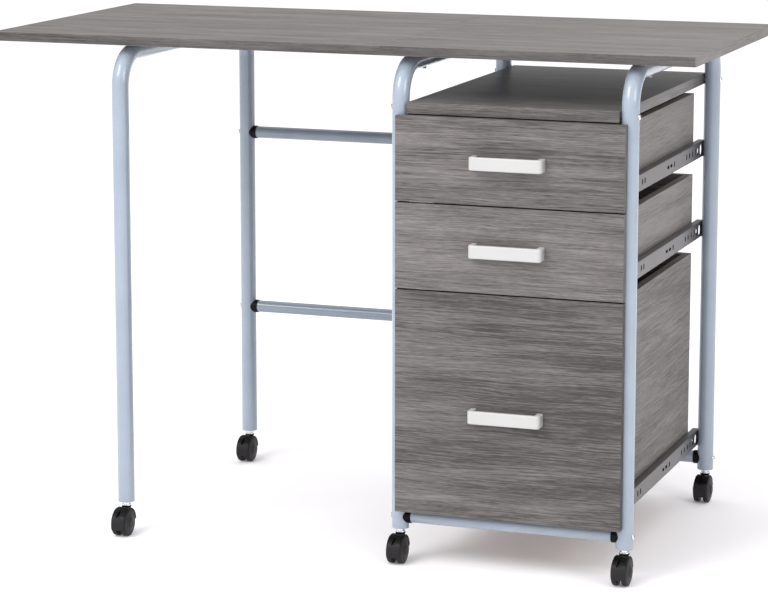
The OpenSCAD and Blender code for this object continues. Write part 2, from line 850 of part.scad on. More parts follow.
// Plan of a handle: a block from the front at y = 0 to y = -reach, its outer corners round
module handle_outline(len, reach, r) {
    translate([-len / 2, -reach + r]) square([len, reach - r]);
    translate([-len / 2 + r, -reach]) square([len - 2 * r, reach]);
    for (s = [-1, 1]) translate([s * (len / 2 - r), -reach + r]) circle(r);
}

module handle_screws(z) {
    color(bright_steel) for (s = [-1, 1])
        translate([middle_x + s * (handle_len - handle_post) / 2, front_back_y, z]) {
            rotate([-90, 0, 0]) cylinder(
                h = handle_screw_head_t,
                r1 = handle_screw_head_d / 2,
                r2 = handle_screw_head_d / 2 - head_taper
            );
            rotate([90, 0, 0])
                cylinder(h = front_t + handle_reach - handle_bend - tip_gap, r = handle_screw_d / 2);
        }
}

// Lower edges of the drawer boxes, level with the slides' lower edges
upper_box_z = upper_slide_z - slide_h / 2;
middle_box_z = middle_slide_z - slide_h / 2;
lower_box_z = lower_slide_z - slide_h / 2;
// Heights of the handles
upper_handle_z = upper_fronts_z + upper_front_h / 2;
middle_handle_z = middle_fronts_z + middle_front_h / 2;
lower_handle_z = fronts_z + lower_front_h / 2 - lower_handle_drop;

module upper_drawer_front() {
    drawer_front(upper_fronts_z, upper_front_h, upper_box_z, upper_handle_z);
}

module upper_drawer_sides() {
    drawer_sides(upper_box_z, shallow_side_h);
}

module upper_drawer_back() {
    drawer_back(upper_box_z, shallow_side_h);
}

module upper_drawer_bottom() {
    drawer_bottom(upper_box_z);
}

module upper_drawer_handle() {
    drawer_handle(upper_handle_z);
}

module upper_handle_screws() {
    handle_screws(upper_handle_z);
}

module middle_drawer_front() {
    drawer_front(middle_fronts_z, middle_front_h, middle_box_z, middle_handle_z);
}

module middle_drawer_sides() {
    drawer_sides(middle_box_z, shallow_side_h);
}

module middle_drawer_back() {
    drawer_back(middle_box_z, shallow_side_h);
}

module middle_drawer_bottom() {
    drawer_bottom(middle_box_z);
}

module middle_drawer_handle() {
    drawer_handle(middle_handle_z);
}

module middle_handle_screws() {
    handle_screws(middle_handle_z);
}

module lower_drawer_front() {
    drawer_front(fronts_z, lower_front_h, lower_box_z, lower_handle_z);
}

module lower_drawer_sides() {
    drawer_sides(lower_box_z, deep_side_h);
}

module lower_drawer_back() {
    drawer_back(lower_box_z, deep_side_h);
}

module lower_drawer_bottom() {
    drawer_bottom(lower_box_z);
}

module lower_drawer_handle() {
    drawer_handle(lower_handle_z);
}

module lower_handle_screws() {
    handle_screws(lower_handle_z);
}

module gate_hinge_pins() {
    reach = eye_h / 2 + eye_gap + lug_t + hole_clear;
    color(bright_steel) for (z = [gate_upper_z, gate_lower_z])
        translate([pivot_x, rear_y, z]) {
            translate([0, 0, -reach - pin_head_t]) cylinder(h = 2 * reach + pin_head_t, r = pin_d / 2);
            translate([0, 0, reach])
                cylinder(h = pin_head_t, r1 = pin_head_d / 2, r2 = pin_head_d / 2 - head_taper);
        }
}

// Plastic socket in the end of a leg at X = x, Y = y
module caster_socket(x, y) {
    color(black_plastic) translate([x, y, tube_lift]) difference() {
        cylinder(h = socket_len, r = leg_bore_r - hole_clear);
        translate([0, 0, -tip_gap]) cylinder(h = socket_len + 2 * tip_gap, r = stem_d / 2 + hole_clear);
    }
}

// Steel stem of a caster: tail in the hood, flange over its collar, pin in the socket
module caster_stem(x, y) {
    flange_z = collar_z + flange_gap;
    color(bright_steel) translate([x, y, 0]) {
        translate([0, 0, collar_z - stem_tail])
            cylinder(h = stem_tail + flange_gap, r = stem_tail_d / 2);
        translate([0, 0, flange_z]) cylinder(h = stem_flange_t, r = stem_flange_d / 2);
        translate([0, 0, flange_z])
            cylinder(h = tube_lift - hole_clear - flange_z, r = stem_shoulder_d / 2);
        translate([0, 0, flange_z])
            cylinder(h = tube_lift + stem_len - flange_z, r = stem_d / 2);
    }
}

module pedestal_caster_sockets() {
    for (x = [inner_x, right_x], y = leg_ys) caster_socket(x, y);
}

module pedestal_caster_stems() {
    for (x = [inner_x, right_x], y = leg_ys) caster_stem(x, y);
}

module gate_caster_sockets() {
    for (y = leg_ys) caster_socket(left_x, y);
}

module gate_caster_stems() {
    for (y = leg_ys) caster_stem(left_x, y);
}

// Side view of the hood: y to the rear, z up, the axle at the origin
module hood_side() {
    intersection() {
        union() {
            circle(hood_r);
            translate([hood_tail, 0]) circle(hood_r);
        }
        union() {
            translate([-hood_r, -hood_drop]) square([hood_r + trail, hood_drop + hood_r]);
            translate([0, hood_rise]) square([hood_r + hood_tail, hood_r]);
        }
    }
}

// Drum about the axle with rounded side edges, the outside of the hood before it is cut
module hood_drum() {
    rotate([0, 90, 0]) rotate_extrude() intersection() {
        translate([-hood_r, -hood_w / 2]) rounded_plate(2 * hood_r, hood_w, hood_round);
        translate([0, -hood_w / 2]) square([hood_r, hood_w]);
    }
}

// Slot in the front of the hood, wider at its lower end
module hood_slot() {
    rotate([-hood_slot_angle, 0, 0]) translate([0, hood_slot_depth - hood_r, 0]) rotate([90, 0, 0])
        linear_extrude(hood_slot_depth + tip_gap) polygon([
            [-hood_slot_w / 2, -hood_slot_h / 2],
            [hood_slot_w / 2, -hood_slot_h / 2],
            [hood_slot_top_w / 2, hood_slot_h / 2],
            [-hood_slot_top_w / 2, hood_slot_h / 2]
        ]);
}

// Shell over the wheels with the collar around the stem
module hood_shell() {
    collar_top = collar_z - wheel_r;
    difference() {
        union() {
            intersection() {
                union() {
                    hood_drum();
                    translate([0, hood_tail, 0]) hood_drum();
                }
                rotate([90, 0, 90]) linear_extrude(2 * hood_w, center = true) hood_side();
            }
            translate([0, trail, collar_top - collar_d]) cylinder(h = collar_d, r = collar_neck_d / 2);
            translate([0, trail, collar_top - collar_lip_h]) cylinder(h = collar_lip_h, r = collar_d / 2);
        }
        translate([-wheels_w, 0, 0]) x_rod(2 * wheels_w, hood_inner_r);
    }
}

// Hood over the two wheels of a caster whose swivel axis stands at X = x, Y = y
module caster_hood(x, y) {
    tail_z = collar_z - stem_tail - spin_clear - wheel_r;
    color(wheel_black) translate([x, y - trail, wheel_r]) difference() {
        union() {
            hood_shell();
            rotate([90, 0, 90]) linear_extrude(2 * (wheel_in - web_gap), center = true) hood_side();
            translate([0, trail, tail_z - tip_gap])
                cylinder(h = stem_tail, r = wheel_in - hood_gap);
        }
        translate([-wheels_w, 0, 0]) x_rod(2 * wheels_w, axle_d / 2 + spin_clear);
        translate([0, trail, tail_z])
            cylinder(h = stem_tail + 2 * tip_gap, r = stem_tail_d / 2 + spin_clear);
        hood_slot();
    }
}

// Half section of the wheels: x from the axle out, y across, the domed faces set in by inset
module wheel_section(inset) {
    dome_r = (wheel_r * wheel_r + wheel_dome * wheel_dome) / (2 * wheel_dome);
    intersection() {
        translate([0, -wheels_w / 2]) square([wheel_r, wheels_w]);
        translate([0, wheels_w / 2 - inset - dome_r]) circle(dome_r);
        translate([0, dome_r + inset - wheels_w / 2]) circle(dome_r);
    }
}

// Both wheels of a caster on their axle, as one turned piece
module caster_wheels(x, y) {
    color(wheel_black) translate([x, y - trail, wheel_r]) rotate([0, 90, 0]) rotate_extrude()
        difference() {
            union() {
                wheel_section(dish_depth);
                intersection() {
                    wheel_section(0);
                    union() {
                        translate([0, -wheels_w / 2]) square([hub_d / 2, wheels_w]);
                        translate([wheel_r - rim_w, -wheels_w / 2]) square([rim_w, wheels_w]);
                    }
                }
            }
            translate([axle_d / 2, -wheel_in]) square([wheel_r, 2 * wheel_in]);
        }
}

module left_front_caster_hood() {
    caster_hood(left_x, front_y);
}

module left_front_caster_wheels() {
    caster_wheels(left_x, front_y);
}

module left_rear_caster_hood() {
    caster_hood(left_x, rear_y);
}

module left_rear_caster_wheels() {
    caster_wheels(left_x, rear_y);
}

module inner_front_caster_hood() {
    caster_hood(inner_x, front_y);
}

module inner_front_caster_wheels() {
    caster_wheels(inner_x, front_y);
}

module inner_rear_caster_hood() {
    caster_hood(inner_x, rear_y);
}

module inner_rear_caster_wheels() {
    caster_wheels(inner_x, rear_y);
}

module right_front_caster_hood() {
    caster_hood(right_x, front_y);
}

module right_front_caster_wheels() {
    caster_wheels(right_x, front_y);
}

module right_rear_caster_hood() {
    caster_hood(right_x, rear_y);
}

module right_rear_caster_wheels() {
    caster_wheels(right_x, rear_y);
}

fixed_top();
top_hinge_barrels();
inner_side_frame();
right_side_frame();
storage_shelf();
front_rail();
rear_rail();
rail_end_caps();
frame_bolts();
top_screws();
upper_slide_rails();
middle_slide_rails();
lower_slide_rails();
slide_screws();
gate_hinge_pins();
pedestal_caster_sockets();
pedestal_caster_stems();
leaf();
leaf_hinge_barrels();
left_leg_frame();
gate_upper_rail();
gate_lower_rail();
gate_end_caps();
gate_bolts();
gate_caster_sockets();
gate_caster_stems();
upper_drawer_front();
upper_drawer_sides();
upper_drawer_back();
upper_drawer_bottom();
upper_drawer_handle();
upper_handle_screws();
upper_drawer_runners();
middle_drawer_front();
middle_drawer_sides();
middle_drawer_back();
middle_drawer_bottom();
middle_drawer_handle();
middle_handle_screws();
middle_drawer_runners();
lower_drawer_front();
lower_drawer_sides();
lower_drawer_back();
lower_drawer_bottom();
lower_drawer_handle();
lower_handle_screws();
lower_drawer_runners();
left_front_caster_hood();
left_front_caster_wheels();
left_rear_caster_hood();
left_rear_caster_wheels();
inner_front_caster_hood();
inner_front_caster_wheels();
inner_rear_caster_hood();
inner_rear_caster_wheels();
right_front_caster_hood();
right_front_caster_wheels();
right_rear_caster_hood();
right_rear_caster_wheels();
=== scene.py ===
# %% [markdown]
# # A folding desk on casters
# The desk has a drawer pedestal between two bent tube frames, and a hinged leaf that a
# swinging tube frame carries. The solid model already has every piece in its place and at
# its size. This lesson gives each piece the surface it has on the real desk, and swaps the
# pieces whose edges the eye catches for meshes with softened edges.

# %% Load the frame
import json
import math

import bmesh
import bpy
from mathutils import Matrix, Vector


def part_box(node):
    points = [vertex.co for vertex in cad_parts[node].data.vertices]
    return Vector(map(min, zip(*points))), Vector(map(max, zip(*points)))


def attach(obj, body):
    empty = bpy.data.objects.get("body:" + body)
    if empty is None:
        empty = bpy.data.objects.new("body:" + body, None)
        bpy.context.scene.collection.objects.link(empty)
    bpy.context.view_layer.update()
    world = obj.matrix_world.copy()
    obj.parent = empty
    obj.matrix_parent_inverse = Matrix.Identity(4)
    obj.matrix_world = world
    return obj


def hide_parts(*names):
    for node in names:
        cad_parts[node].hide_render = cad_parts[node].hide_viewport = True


MM = 0.001

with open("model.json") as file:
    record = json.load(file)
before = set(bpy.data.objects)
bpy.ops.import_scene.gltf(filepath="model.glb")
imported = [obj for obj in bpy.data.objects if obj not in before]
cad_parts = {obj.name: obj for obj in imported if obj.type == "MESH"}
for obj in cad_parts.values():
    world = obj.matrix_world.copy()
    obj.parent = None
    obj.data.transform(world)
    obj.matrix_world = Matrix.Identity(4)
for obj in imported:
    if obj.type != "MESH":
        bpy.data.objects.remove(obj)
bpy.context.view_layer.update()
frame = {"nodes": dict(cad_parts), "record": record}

# %% [markdown]
# ## Camera
# A product photographer stands well back and uses a long lens, so that the desk keeps its
# proportions. The camera looks down on the desktop a little and sees its right end. The
# picture is shifted down a little, as the photograph's framing asks.

# %% Camera
CAMERA_PLACE = Vector((1.4598, -4.0498, 1.1719))
CAMERA_LENS, CAMERA_SENSOR = 134.86, 36
CAMERA_TURN, CAMERA_DIP = 19.82, 9.71
CAMERA_SHIFT = -0.08

camera_data = bpy.data.cameras.new("camera")
camera_data.lens = CAMERA_LENS
camera_data.sensor_width = CAMERA_SENSOR
camera_data.shift_y = CAMERA_SHIFT
camera = bpy.data.objects.new("camera", camera_data)
camera.location = CAMERA_PLACE
camera.rotation_euler = (math.radians(90 - CAMERA_DIP), 0, math.radians(CAMERA_TURN))
bpy.context.scene.collection.objects.link(camera)
bpy.context.scene.camera = camera

# %% [markdown]
# ## Light and floor
# The desk stands on a white sweep in soft, even light, with only a faint shadow under the
# drawers. The studio's walls give that even light: they are brightest up at the front left
# and dimmer low down behind the desk, so the desktop does not mirror a white wall. Three
# large lamps, the strongest above the front left, model the tubes and leave a highlight
# along them.

# %% Light and floor
LAMP_AIM = Vector((0, 0, 0.45))


def add_lamp(name, place, size, power):
    """A square area lamp that looks at the middle of the desk."""
    data = bpy.data.lights.new(name, "AREA")
    data.shape, data.size, data.energy = "SQUARE", size, power
    lamp = bpy.data.objects.new(name, data)
    lamp.location = place
    lamp.rotation_euler = (LAMP_AIM - lamp.location).to_track_quat("-Z", "Y").to_euler()
    bpy.context.scene.collection.objects.link(lamp)


add_lamp("key lamp", (-1.5, -3.1, 3.5), size=2.2, power=98)
add_lamp("side lamp", (3.6, -1.6, 2.2), size=1.8, power=41)
add_lamp("back lamp", (1.4, 3.2, 3.4), size=2.4, power=18)

BRIGHTEST = Vector((-0.20, -0.42, 0.88)).normalized()
WALL_LOW, WALL_HIGH = 0.38, 1.40
DIM_FROM = -0.2

world = bpy.data.worlds.new("studio")
bpy.context.scene.world = world
world.use_nodes = True
walls = world.node_tree
sky = walls.nodes["Background"]
sky.inputs["Color"].default_value = (1.0, 1.0, 1.0, 1)
facing = walls.nodes.new("ShaderNodeVectorMath")
facing.operation = "DOT_PRODUCT"
facing.inputs[1].default_value = BRIGHTEST
walls.links.new(walls.nodes.new("ShaderNodeTexCoord").outputs["Generated"], facing.inputs[0])
glow = walls.nodes.new("ShaderNodeMapRange")
glow.inputs["From Min"].default_value = DIM_FROM
glow.inputs["To Min"].default_value = WALL_LOW
glow.inputs["To Max"].default_value = WALL_HIGH
walls.links.new(facing.outputs["Value"], glow.inputs["Value"])
walls.links.new(glow.outputs[0], sky.inputs["Strength"])
bpy.context.scene.view_settings.view_transform = "Standard"
bpy.context.scene.view_settings.look = "None"

FLOOR_REACH = 40
floor_mesh = bpy.data.meshes.new("floor")
floor_mesh.from_pydata(
    [(x, y, 0) for x, y in ((-1, -1), (1, -1), (1, 1), (-1, 1))], [], [(0, 1, 2, 3)])
floor_mesh.transform(Matrix.Scale(FLOOR_REACH, 4))
floor = bpy.data.objects.new("floor", floor_mesh)
bpy.context.scene.collection.objects.link(floor)

# %% [markdown]
# ## A way to write materials
# A material is a small graph of nodes. A few helpers keep its text short: they add a node,
# and they link each of its inputs or set it to a value. Every finish below is made with
# them.

# %% Helpers for node graphs
# A Mix node has inputs and outputs for each kind of value; these are the ones for colours.
MIX_FACTOR, MIX_FIRST, MIX_SECOND, MIX_RESULT = 0, 6, 7, 2


def feed(tree, socket, value):
    """Links an input to another node's socket, or sets it to a value."""
    if isinstance(value, bpy.types.NodeSocket):
        tree.links.new(value, socket)
    else:
        socket.default_value = value


def node(tree, kind, **values):
    """A node of one kind. Each value is a setting of the node or goes to an input."""
    made = tree.nodes.new("ShaderNode" + kind)
    for key, value in values.items():
        if hasattr(made, key) and key not in made.inputs:
            setattr(made, key, value)
        else:
            feed(tree, made.inputs[key], value)
    return made


def calc(tree, operation, *values):
    """The output of a Math node over sockets and numbers."""
    made = node(tree, "Math", operation=operation)
    for socket, value in zip(made.inputs, values):
        feed(tree, socket, value)
    return made.outputs[0]


def part_way(tree, value, start, end):
    """How far a value has come from start to end, from 0 to 1."""
    return node(tree, "MapRange", Value=value, **{"From Min": start, "From Max": end}).outputs[0]


def spread(tree, value, first, last):
    """Turns a value that runs from 0 to 1 into one that runs from first to last."""
    return node(tree, "MapRange", Value=value, **{"To Min": first, "To Max": last}).outputs[0]


def ramp(tree, factor, stops):
    """The colour of a ramp, given as (place, colour) stops with linear colours."""
    made = node(tree, "ValToRGB", Fac=factor)
    points = made.color_ramp.elements
    while len(points) < len(stops):
        points.new(1)
    for point, (place, colour) in zip(points, stops):
        point.position = place
        point.color = (*colour, 1)
    return made.outputs[0]


def mix(tree, factor, first, second):
    """Mixes two colours, each given as three numbers or as a socket."""
    made = node(tree, "Mix", data_type="RGBA")
    feed(tree, made.inputs[MIX_FACTOR], factor)
    for place, colour in ((MIX_FIRST, first), (MIX_SECOND, second)):
        feed(tree, made.inputs[place], (*colour, 1) if isinstance(colour, tuple) else colour)
    return made.outputs[MIX_RESULT]


def toned(colour, tone):
    """A colour made lighter or darker by a factor."""
    return tuple(v * tone for v in colour)


def new_group(name, inputs, outputs):
    """An empty shader node group. Inputs are (name, kind, value), outputs (name, kind)."""
    group = bpy.data.node_groups.new(name, "ShaderNodeTree")
    for label, kind, value in inputs:
        socket = group.interface.new_socket(label, in_out="INPUT", socket_type="NodeSocket" + kind)
        if value is not None:
            socket.default_value = value
    for label, kind in outputs:
        group.interface.new_socket(label, in_out="OUTPUT", socket_type="NodeSocket" + kind)
    return group, group.nodes.new("NodeGroupInput").outputs, group.nodes.new("NodeGroupOutput").inputs


def use_group(tree, group, **values):
    """The outputs of a group that is used inside a material."""
    made = tree.nodes.new("ShaderNodeGroup")
    made.node_tree = group
    for key, value in values.items():
        feed(tree, made.inputs[key], value)
    return made.outputs


def shader_of(material):
    """The Principled shader of a material."""
    return next(n for n in material.node_tree.nodes if n.type == "BSDF_PRINCIPLED")


def new_material(name):
    """A material with only its shader and output, its node tree and its shader."""
    material = bpy.data.materials.new(name)
    material.use_nodes = True
    return material, material.node_tree, shader_of(material)


def emboss(tree, shader, height, strength, depth):
    """Gives a shader a bump from a height; the depth is in metres."""
    bump = node(tree, "Bump", Height=height, Strength=strength, Distance=depth)
    feed(tree, shader.inputs["Normal"], bump.outputs[0])


print("node helpers ready")

# %% [markdown]
# ## Effect: streaked grain
# The boards wear a printed oak decor: long grey-brown streaks, finer fibres between them
# and short dark pores, all along the board. Noise that is stretched far along one axis
# gives each of these at its own width. The group reads a board's own flat coordinates, in
# metres along and across the grain, so the streaks run round the edges as the edging does.

# %% Group: streaked grain
WAVE = 10 * MM
PORE_START, PORE_FULL = 0.60, 0.72

grain_group, grain_in, grain_out = new_group(
    "streaked grain",
    [("Along", "Float", 0.0), ("Across", "Float", 0.0), ("Seed", "Float", 0.0), ("Wave", "Float", WAVE)],
    [("Bands", "Float"), ("Streaks", "Float"), ("Fibres", "Float"), ("Pores", "Float"), ("Relief", "Float")])


def grain_noise(across, long, wide, detail):
    """Noise in streaks about `long` metres long and `wide` metres wide."""
    place = node(grain_group, "CombineXYZ",
                 X=calc(grain_group, "MULTIPLY", grain_in["Along"], 1 / long),
                 Y=calc(grain_group, "MULTIPLY", across, 1 / wide), Z=grain_in["Seed"]).outputs[0]
    return node(grain_group, "TexNoise", Vector=place, Scale=1.0, Detail=detail, Roughness=0.6).outputs[0]


drift = grain_noise(grain_in["Across"], long=160 * MM, wide=50 * MM, detail=2.0)
shift = calc(grain_group, "MULTIPLY", calc(grain_group, "SUBTRACT", drift, 0.5), grain_in["Wave"])
waved = calc(grain_group, "ADD", grain_in["Across"], shift)
bands = grain_noise(waved, long=300 * MM, wide=24 * MM, detail=4.0)
streaks = grain_noise(waved, long=70 * MM, wide=1.8 * MM, detail=4.0)
fibres = grain_noise(waved, long=14 * MM, wide=1.0 * MM, detail=3.0)
pore_noise = grain_noise(waved, long=11 * MM, wide=0.7 * MM, detail=2.0)
pores = part_way(grain_group, pore_noise, PORE_START, PORE_FULL)
relief = calc(grain_group, "SUBTRACT", calc(grain_group, "ADD", streaks, fibres), pores)
for label, value in (("Bands", bands), ("Streaks", streaks), ("Fibres", fibres),
                     ("Pores", pores), ("Relief", relief)):
    feed(grain_group, grain_out[label], value)
print("streaked grain has", len(grain_group.nodes), "nodes")

# %% [markdown]
# ## Effect: sprayed and moulded skins
# Powder coat dries with a faint orange peel, and moulded plastic has a fine spark texture.
# Both are small bumps with slow patches of slightly different gloss over them, so one group
# with a grain size serves both. It also gives a soft mask for dust and handling marks.

# %% Group: grainy skin
SPECKS_PER_PATCH = 7.0
MARK_START, MARK_FULL = 0.58, 0.78

skin_group, skin_in, skin_out = new_group(
    "grainy skin",
    [("Vector", "Vector", None), ("Grain", "Float", 1.2 * MM), ("Patch", "Float", 60 * MM)],
    [("Bumps", "Float"), ("Patches", "Float"), ("Marks", "Float")])


def skin_noise(scale, **values):
    """Even noise over the surface, finer with a larger scale."""
    return node(skin_group, "TexNoise", Vector=skin_in["Vector"], Scale=scale, **values).outputs[0]


grain_scale = calc(skin_group, "DIVIDE", 1.0, skin_in["Grain"])
patch_scale = calc(skin_group, "DIVIDE", 1.0, skin_in["Patch"])
speck_scale = calc(skin_group, "MULTIPLY", patch_scale, SPECKS_PER_PATCH)
bumps = skin_noise(grain_scale, Detail=2.0)
patches = skin_noise(patch_scale, Detail=3.0)
specks = skin_noise(speck_scale, Detail=4.0, Roughness=0.7)
marks = part_way(skin_group, specks, MARK_START, MARK_FULL)
for label, value in (("Bumps", bumps), ("Patches", patches), ("Marks", marks)):
    feed(skin_group, skin_out[label], value)
print("grainy skin has", len(skin_group.nodes), "nodes")

# %% [markdown]
# ## Finish: grey oak decor
# The decor paper is sealed under a matt resin. Its colour comes from three layers of the
# grain: broad bands, streaks and fibres, with the pores darkest. The relief is shallow, as
# it is only pressed into the resin. The edging is a shade darker than the sheets, most of
# all round the desktop, and the shelf has a smoother sheet, in which the legs behind it are
# mirrored softly.

# %% Material: grey oak
GRAIN_SHARES = {"Bands": 0.30, "Streaks": 0.44, "Fibres": 0.26}
OAK_SHADES = ((0.37, (0.052, 0.047, 0.045)), (0.455, (0.112, 0.103, 0.099)),
              (0.53, (0.162, 0.151, 0.146)), (0.62, (0.225, 0.211, 0.203)))
OAK_PORE, PORE_DARKNESS = (0.045, 0.040, 0.038), 0.55
GLOSS_SWAY = 0.06


def make_oak(name, tone, rough=0.52, shine=0.25):
    """Grey-brown oak decor; tone scales its lightness."""
    material, tree, shader = new_material(name)
    uv = node(tree, "UVMap", uv_map="grain").outputs[0]
    flat = node(tree, "SeparateXYZ", Vector=uv).outputs
    seed = node(tree, "Attribute", attribute_name="seed").outputs["Fac"]
    grain = use_group(tree, grain_group, Along=flat[0], Across=flat[1], Seed=seed)
    # The shade attribute holds each board's tone and also painted light and shade.
    level = node(tree, "Attribute", attribute_name="shade").outputs["Fac"]
    for layer, share in GRAIN_SHARES.items():
        level = calc(tree, "MULTIPLY_ADD", grain[layer], share, level)
    wood = ramp(tree, level, [(place, toned(colour, tone)) for place, colour in OAK_SHADES])
    pores = calc(tree, "MULTIPLY", grain["Pores"], PORE_DARKNESS)
    feed(tree, shader.inputs["Base Color"], mix(tree, pores, wood, toned(OAK_PORE, tone)))
    gloss = spread(tree, grain["Streaks"], rough + GLOSS_SWAY, rough - GLOSS_SWAY)
    feed(tree, shader.inputs["Roughness"], gloss)
    shader.inputs["Specular IOR Level"].default_value = shine
    emboss(tree, shader, grain["Relief"], strength=0.25, depth=0.2 * MM)
    return material


oak = make_oak("grey oak", 1.0)
oak_edge = make_oak("grey oak edging", 0.95)
oak_rim = make_oak("grey oak desktop rim", 0.56)
oak_shelf = make_oak("grey oak shelf", 0.92, rough=0.34, shine=0.40)
print("made", ", ".join(sheet.name for sheet in (oak, oak_edge, oak_rim, oak_shelf)))

# %% [markdown]
# ## Finish: powder coat, plastics and enamel
# These share one recipe: a plain colour, slow patches in its gloss, and the grainy skin as
# a bump. The colour, the gloss, the coat and the size of the grain differ from one to the
# next. The floor is a white table that glows a little, which keeps the shadows near the
# desk.

# %% Materials with a grainy skin
PATCH_START, PATCH_END = 0.3, 0.7
MARK_DARKNESS = 0.10
GLOSS_LOW, GLOSS_HIGH = 0.85, 1.2
FLOOR_GLOW, GLOW_STRENGTH = (0.98, 0.95, 1.0, 1), 0.10


def make_skin(name, colour, rough, grain, depth, metal=0.0, coat=0.0, coat_rough=0.03,
              shade=0.06, shine=0.5):
    """A painted, moulded or plated surface; grain and depth are in metres."""
    material, tree, shader = new_material(name)
    place = node(tree, "TexCoord").outputs["Object"]
    skin = use_group(tree, skin_group, Vector=place, Grain=grain)
    darker, lighter = toned(colour, 1 - shade), toned(colour, 1 + shade)
    tone = ramp(tree, skin["Patches"], ((PATCH_START, darker), (PATCH_END, lighter)))
    marks = calc(tree, "MULTIPLY", skin["Marks"], MARK_DARKNESS)
    feed(tree, shader.inputs["Base Color"], mix(tree, marks, tone, darker))
    gloss = spread(tree, skin["Patches"], rough * GLOSS_LOW, rough * GLOSS_HIGH)
    feed(tree, shader.inputs["Roughness"], gloss)
    shader.inputs["Metallic"].default_value = metal
    shader.inputs["Coat Weight"].default_value = coat
    shader.inputs["Coat Roughness"].default_value = coat_rough
    shader.inputs["Specular IOR Level"].default_value = shine
    emboss(tree, shader, skin["Bumps"], strength=0.5, depth=depth)
    return material


powder_blue = make_skin("powder blue", (0.300, 0.355, 0.428), rough=0.22, grain=1.6 * MM,
                        depth=0.05 * MM, coat=0.6, coat_rough=0.12)
# Painted shade: the swinging frame's rails are painted darker, for the desktop's shade on them.
rail_blue_in_painted_shade = make_skin("powder blue of the rails in painted shade", (0.240, 0.288, 0.352), rough=0.22, grain=1.6 * MM,
                      depth=0.05 * MM, coat=0.5)
cap_black = make_skin("cap black", (0.002, 0.002, 0.003), rough=0.48, grain=0.7 * MM,
                      depth=0.06 * MM, shine=0.15)
disc_grey = make_skin("disc grey", (0.021, 0.020, 0.021), rough=0.44, grain=0.6 * MM,
                      depth=0.06 * MM, shine=0.2)
tread_black = make_skin("tread black", (0.010, 0.009, 0.010), rough=0.60, grain=0.9 * MM,
                        depth=0.10 * MM, shine=0.3)
satin_white = make_skin("satin white", (0.50, 0.495, 0.49), rough=0.38, grain=2.0 * MM,
                        depth=0.04 * MM, coat=0.1, shade=0.02)
zinc = make_skin("zinc plate", (0.82, 0.83, 0.84), rough=0.20, grain=0.8 * MM,
                 depth=0.03 * MM, metal=1.0)
slide_steel = make_skin("slide steel", (0.098, 0.091, 0.091), rough=0.30, grain=1.2 * MM,
                        depth=0.05 * MM, metal=0.6)
# Near-black for the runners, which also paints the shade in the slots of the rails.
runner_black_and_slot_shade = make_skin("runner black and slot shade", (0.006, 0.006, 0.006), rough=0.42, grain=1.2 * MM,
                         depth=0.05 * MM, shine=0.3)
floor_white = make_skin("floor white", (0.93, 0.915, 0.935), rough=0.85, grain=3.0 * MM,
                        depth=0.02 * MM, shade=0.004)
floor.data.materials.append(floor_white)
floor_shader = shader_of(floor_white)
floor_shader.inputs["Emission Color"].default_value = FLOOR_GLOW
floor_shader.inputs["Emission Strength"].default_value = GLOW_STRENGTH
print("materials so far:", len(bpy.data.materials))

# %% [markdown]
# ## Finish: two-tone caster hood
# A hood has a charcoal skirt over the front of the wheels, and its top and rear are black.
# The hood only turns about its upright stem, so its height and the side it faces are read
# in its own coordinates, and the two tones turn with it.

# %% Material: two-tone hood
SKIRT_TOP, SKIRT_FADE = 32.5 * MM, 0.6 * MM
FRONT_START, FRONT_END = -0.20, -0.35
HOOD_BLACK, HOOD_CHARCOAL = (0.0015, 0.0015, 0.002), (0.020, 0.0185, 0.020)
HOOD_ROUGH, HOOD_SHINE = (0.38, 0.52), 0.13

hood_tones, hood_tree, hood_shader = new_material("two-tone hood")
hood_place = node(hood_tree, "TexCoord").outputs
hood_skin = use_group(hood_tree, skin_group, Vector=hood_place["Object"], Grain=0.6 * MM)
height = node(hood_tree, "SeparateXYZ", Vector=hood_place["Object"]).outputs[2]
turned = node(hood_tree, "SeparateXYZ", Vector=hood_place["Normal"]).outputs[1]
skirt = calc(hood_tree, "MULTIPLY", part_way(hood_tree, height, SKIRT_TOP + SKIRT_FADE, SKIRT_TOP),
             part_way(hood_tree, turned, FRONT_START, FRONT_END))
feed(hood_tree, hood_shader.inputs["Base Color"], mix(hood_tree, skirt, HOOD_BLACK, HOOD_CHARCOAL))
feed(hood_tree, hood_shader.inputs["Roughness"], spread(hood_tree, hood_skin["Patches"], *HOOD_ROUGH))
hood_shader.inputs["Specular IOR Level"].default_value = HOOD_SHINE
emboss(hood_tree, hood_shader, hood_skin["Bumps"], strength=0.5, depth=0.06 * MM)
print("made", hood_tones.name)

# %% [markdown]
# ## Finish: hardboard
# The drawer bottoms are bare hardboard, pressed from brown fibres. Short fibres in every
# direction need no stretching, only two sizes of noise and a low gloss.

# %% Material: hardboard
FLUFF_SCALE, CLOUD_SCALE = 900.0, 30.0
FLUFF_SHARE, CLOUD_SHARE = 0.7, 0.3
BOARD_SHADES = ((0.35, (0.19, 0.13, 0.085)), (0.65, (0.33, 0.245, 0.17)))
BOARD_ROUGH = (0.62, 0.78)

hardboard, board_tree, board_shader = new_material("hardboard")
board_place = node(board_tree, "TexCoord").outputs["Object"]
fluff = node(board_tree, "TexNoise", Vector=board_place, Scale=FLUFF_SCALE, Detail=4.0).outputs[0]
clouds = node(board_tree, "TexNoise", Vector=board_place, Scale=CLOUD_SCALE, Detail=3.0).outputs[0]
board_mix = calc(board_tree, "MULTIPLY_ADD", fluff, FLUFF_SHARE,
                 calc(board_tree, "MULTIPLY", clouds, CLOUD_SHARE))
feed(board_tree, board_shader.inputs["Base Color"], ramp(board_tree, board_mix, BOARD_SHADES))
feed(board_tree, board_shader.inputs["Roughness"], spread(board_tree, clouds, *BOARD_ROUGH))
emboss(board_tree, board_shader, fluff, strength=0.4, depth=0.2 * MM)
print("made", hardboard.name)
